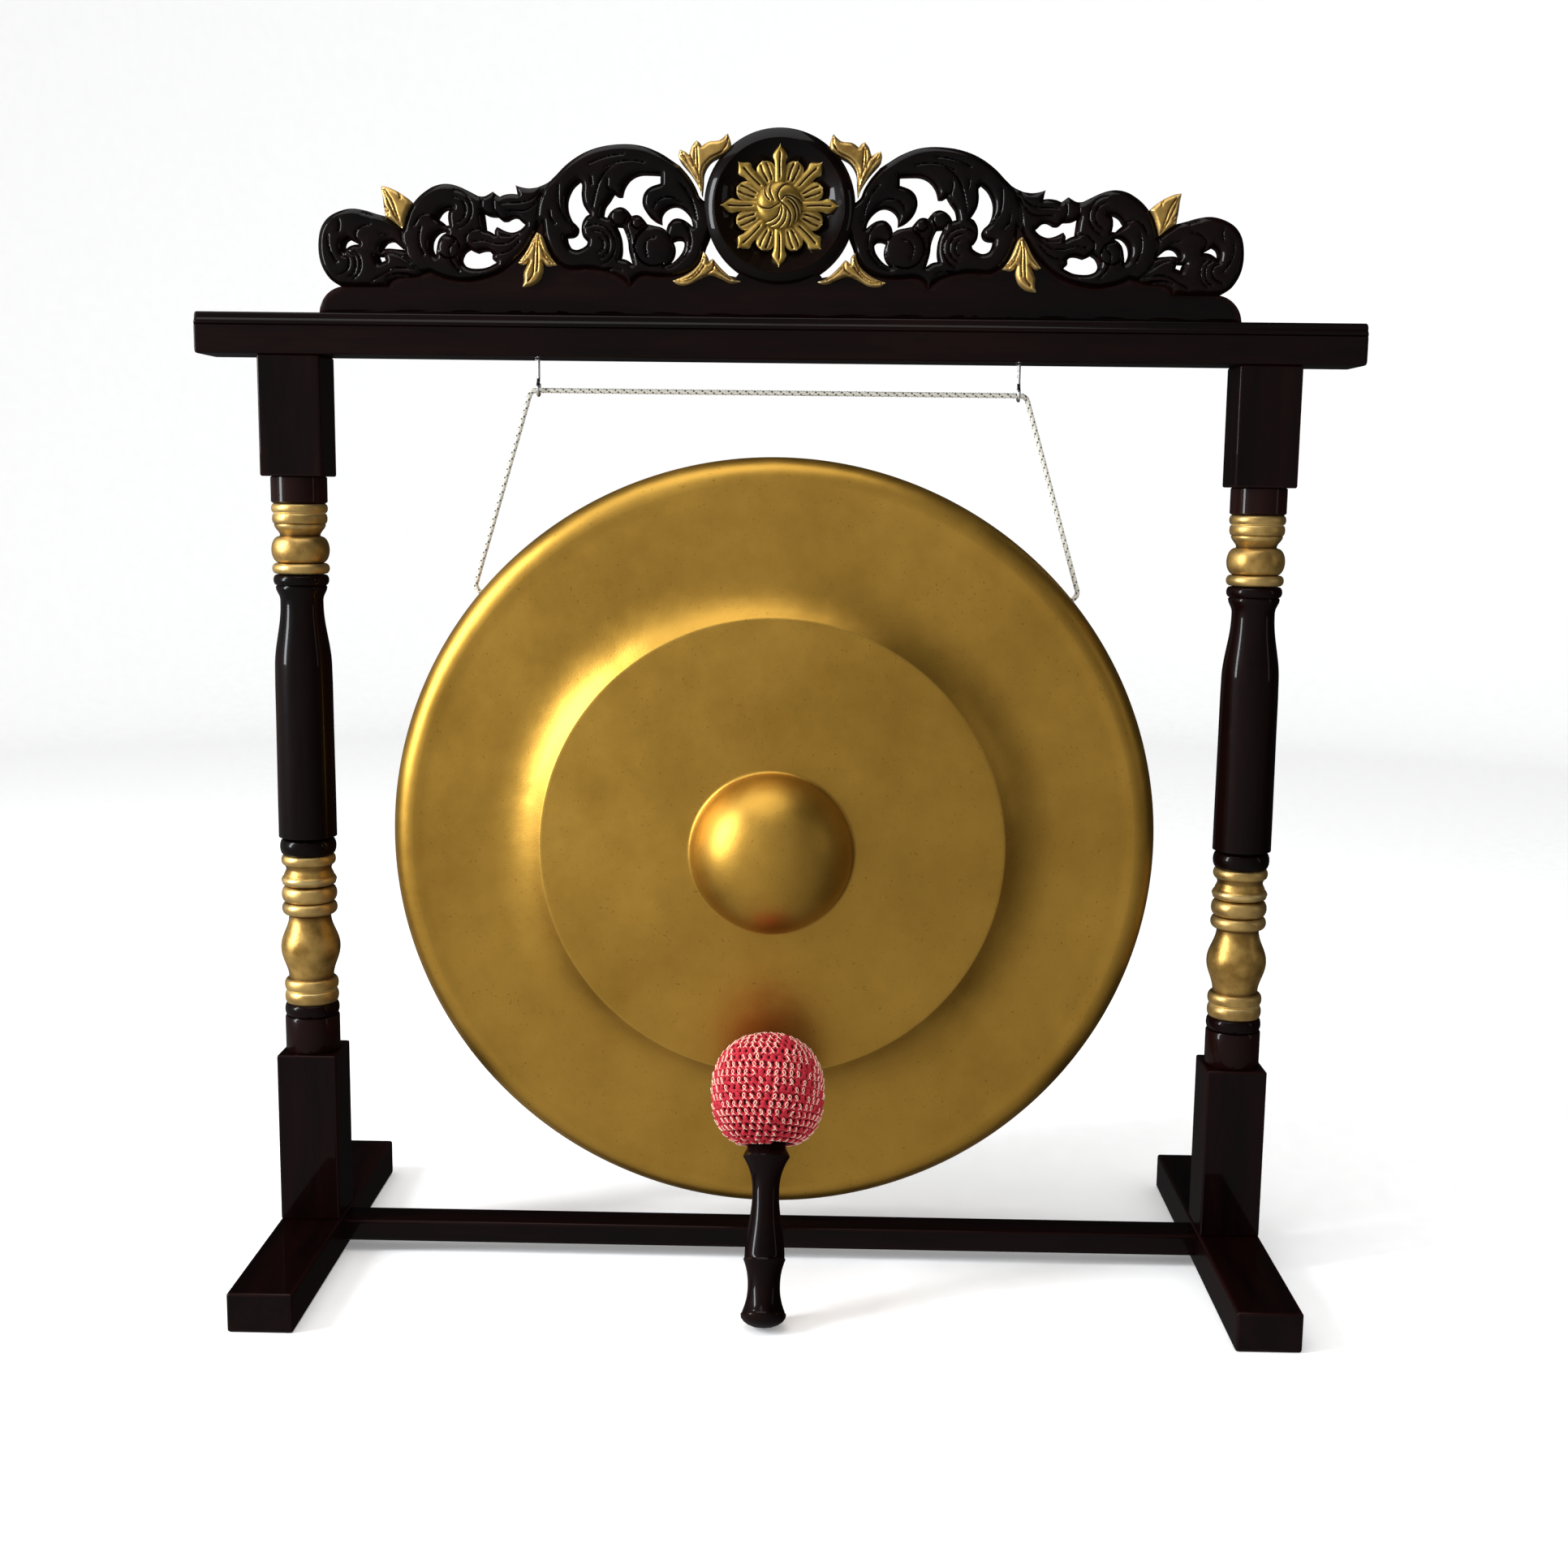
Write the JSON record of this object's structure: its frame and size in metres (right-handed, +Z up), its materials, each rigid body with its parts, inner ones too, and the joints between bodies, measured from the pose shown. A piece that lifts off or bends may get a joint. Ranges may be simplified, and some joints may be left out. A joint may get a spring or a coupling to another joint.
{
  "type": "bossed gong on stand",
  "caption": "Bossed bronze gong slung by a rope from a carved black and gold stand, with a padded mallet standing in front of it",
  "frame": {"origin": "On the floor under the middle of the stand, midway between the two feet and level with the post axes.", "axes": "+X to the player's right along the beam, +Y from the player towards the back of the gong, +Z up."},
  "size_m": [1.19, 0.458, 1.1935],
  "materials": {
    "lacquered_wood": "glossy black-brown lacquer",
    "gold_paint": "satin gold paint",
    "gong_bronze": "satin, hammered",
    "bright_steel": "bright",
    "white_rope": "braided cord",
    "red_yarn": "crocheted red and pale pink yarn",
    "cotton_padding": "wound cotton padding",
    "plain_wood": "bare"
  },
  "bodies": {
    "stand": {"left_foot": "lacquered_wood", "right_foot": "lacquered_wood", "stretcher": "lacquered_wood", "left_post": "lacquered_wood", "right_post": "lacquered_wood", "top_beam": "lacquered_wood", "crest_plinth": "lacquered_wood", "left_scrollwork": "lacquered_wood", "right_scrollwork": "lacquered_wood", "left_gold_leaves": "gold_paint", "right_gold_leaves": "gold_paint", "medallion": "lacquered_wood", "rosette": "gold_paint", "rosette_button": "gold_paint", "left_hook": "bright_steel", "right_hook": "bright_steel", "foot_screws": "bright_steel", "stretcher_pins": "plain_wood", "beam_dowels": "plain_wood", "crest_dowels": "plain_wood"},
    "sling": {"sling_rope": "white_rope", "left_knot": "white_rope", "right_knot": "white_rope"},
    "gong": {"gong": "gong_bronze"},
    "mallet": {"mallet_handle": "lacquered_wood", "mallet_core": "plain_wood", "mallet_padding": "cotton_padding", "mallet_cover": "red_yarn"}
  },
  "joints": [
    {"name": "sling_swing", "type": "hinge", "parent": "stand", "child": "sling", "pos_m": [0, 0, 0.934], "axis": [1, 0, 0], "range_deg": [0, 20]},
    {"name": "gong_swing", "type": "hinge", "parent": "sling", "child": "gong", "pos_m": [0, 0, 0.72266], "axis": [1, 0, 0], "range_deg": [0, 15]},
    {"name": "mallet_pull", "type": "slide", "parent": "stand", "child": "mallet", "axis": [0, -0.6, 0.8], "range_m": [0, 0.35]}
  ]
}
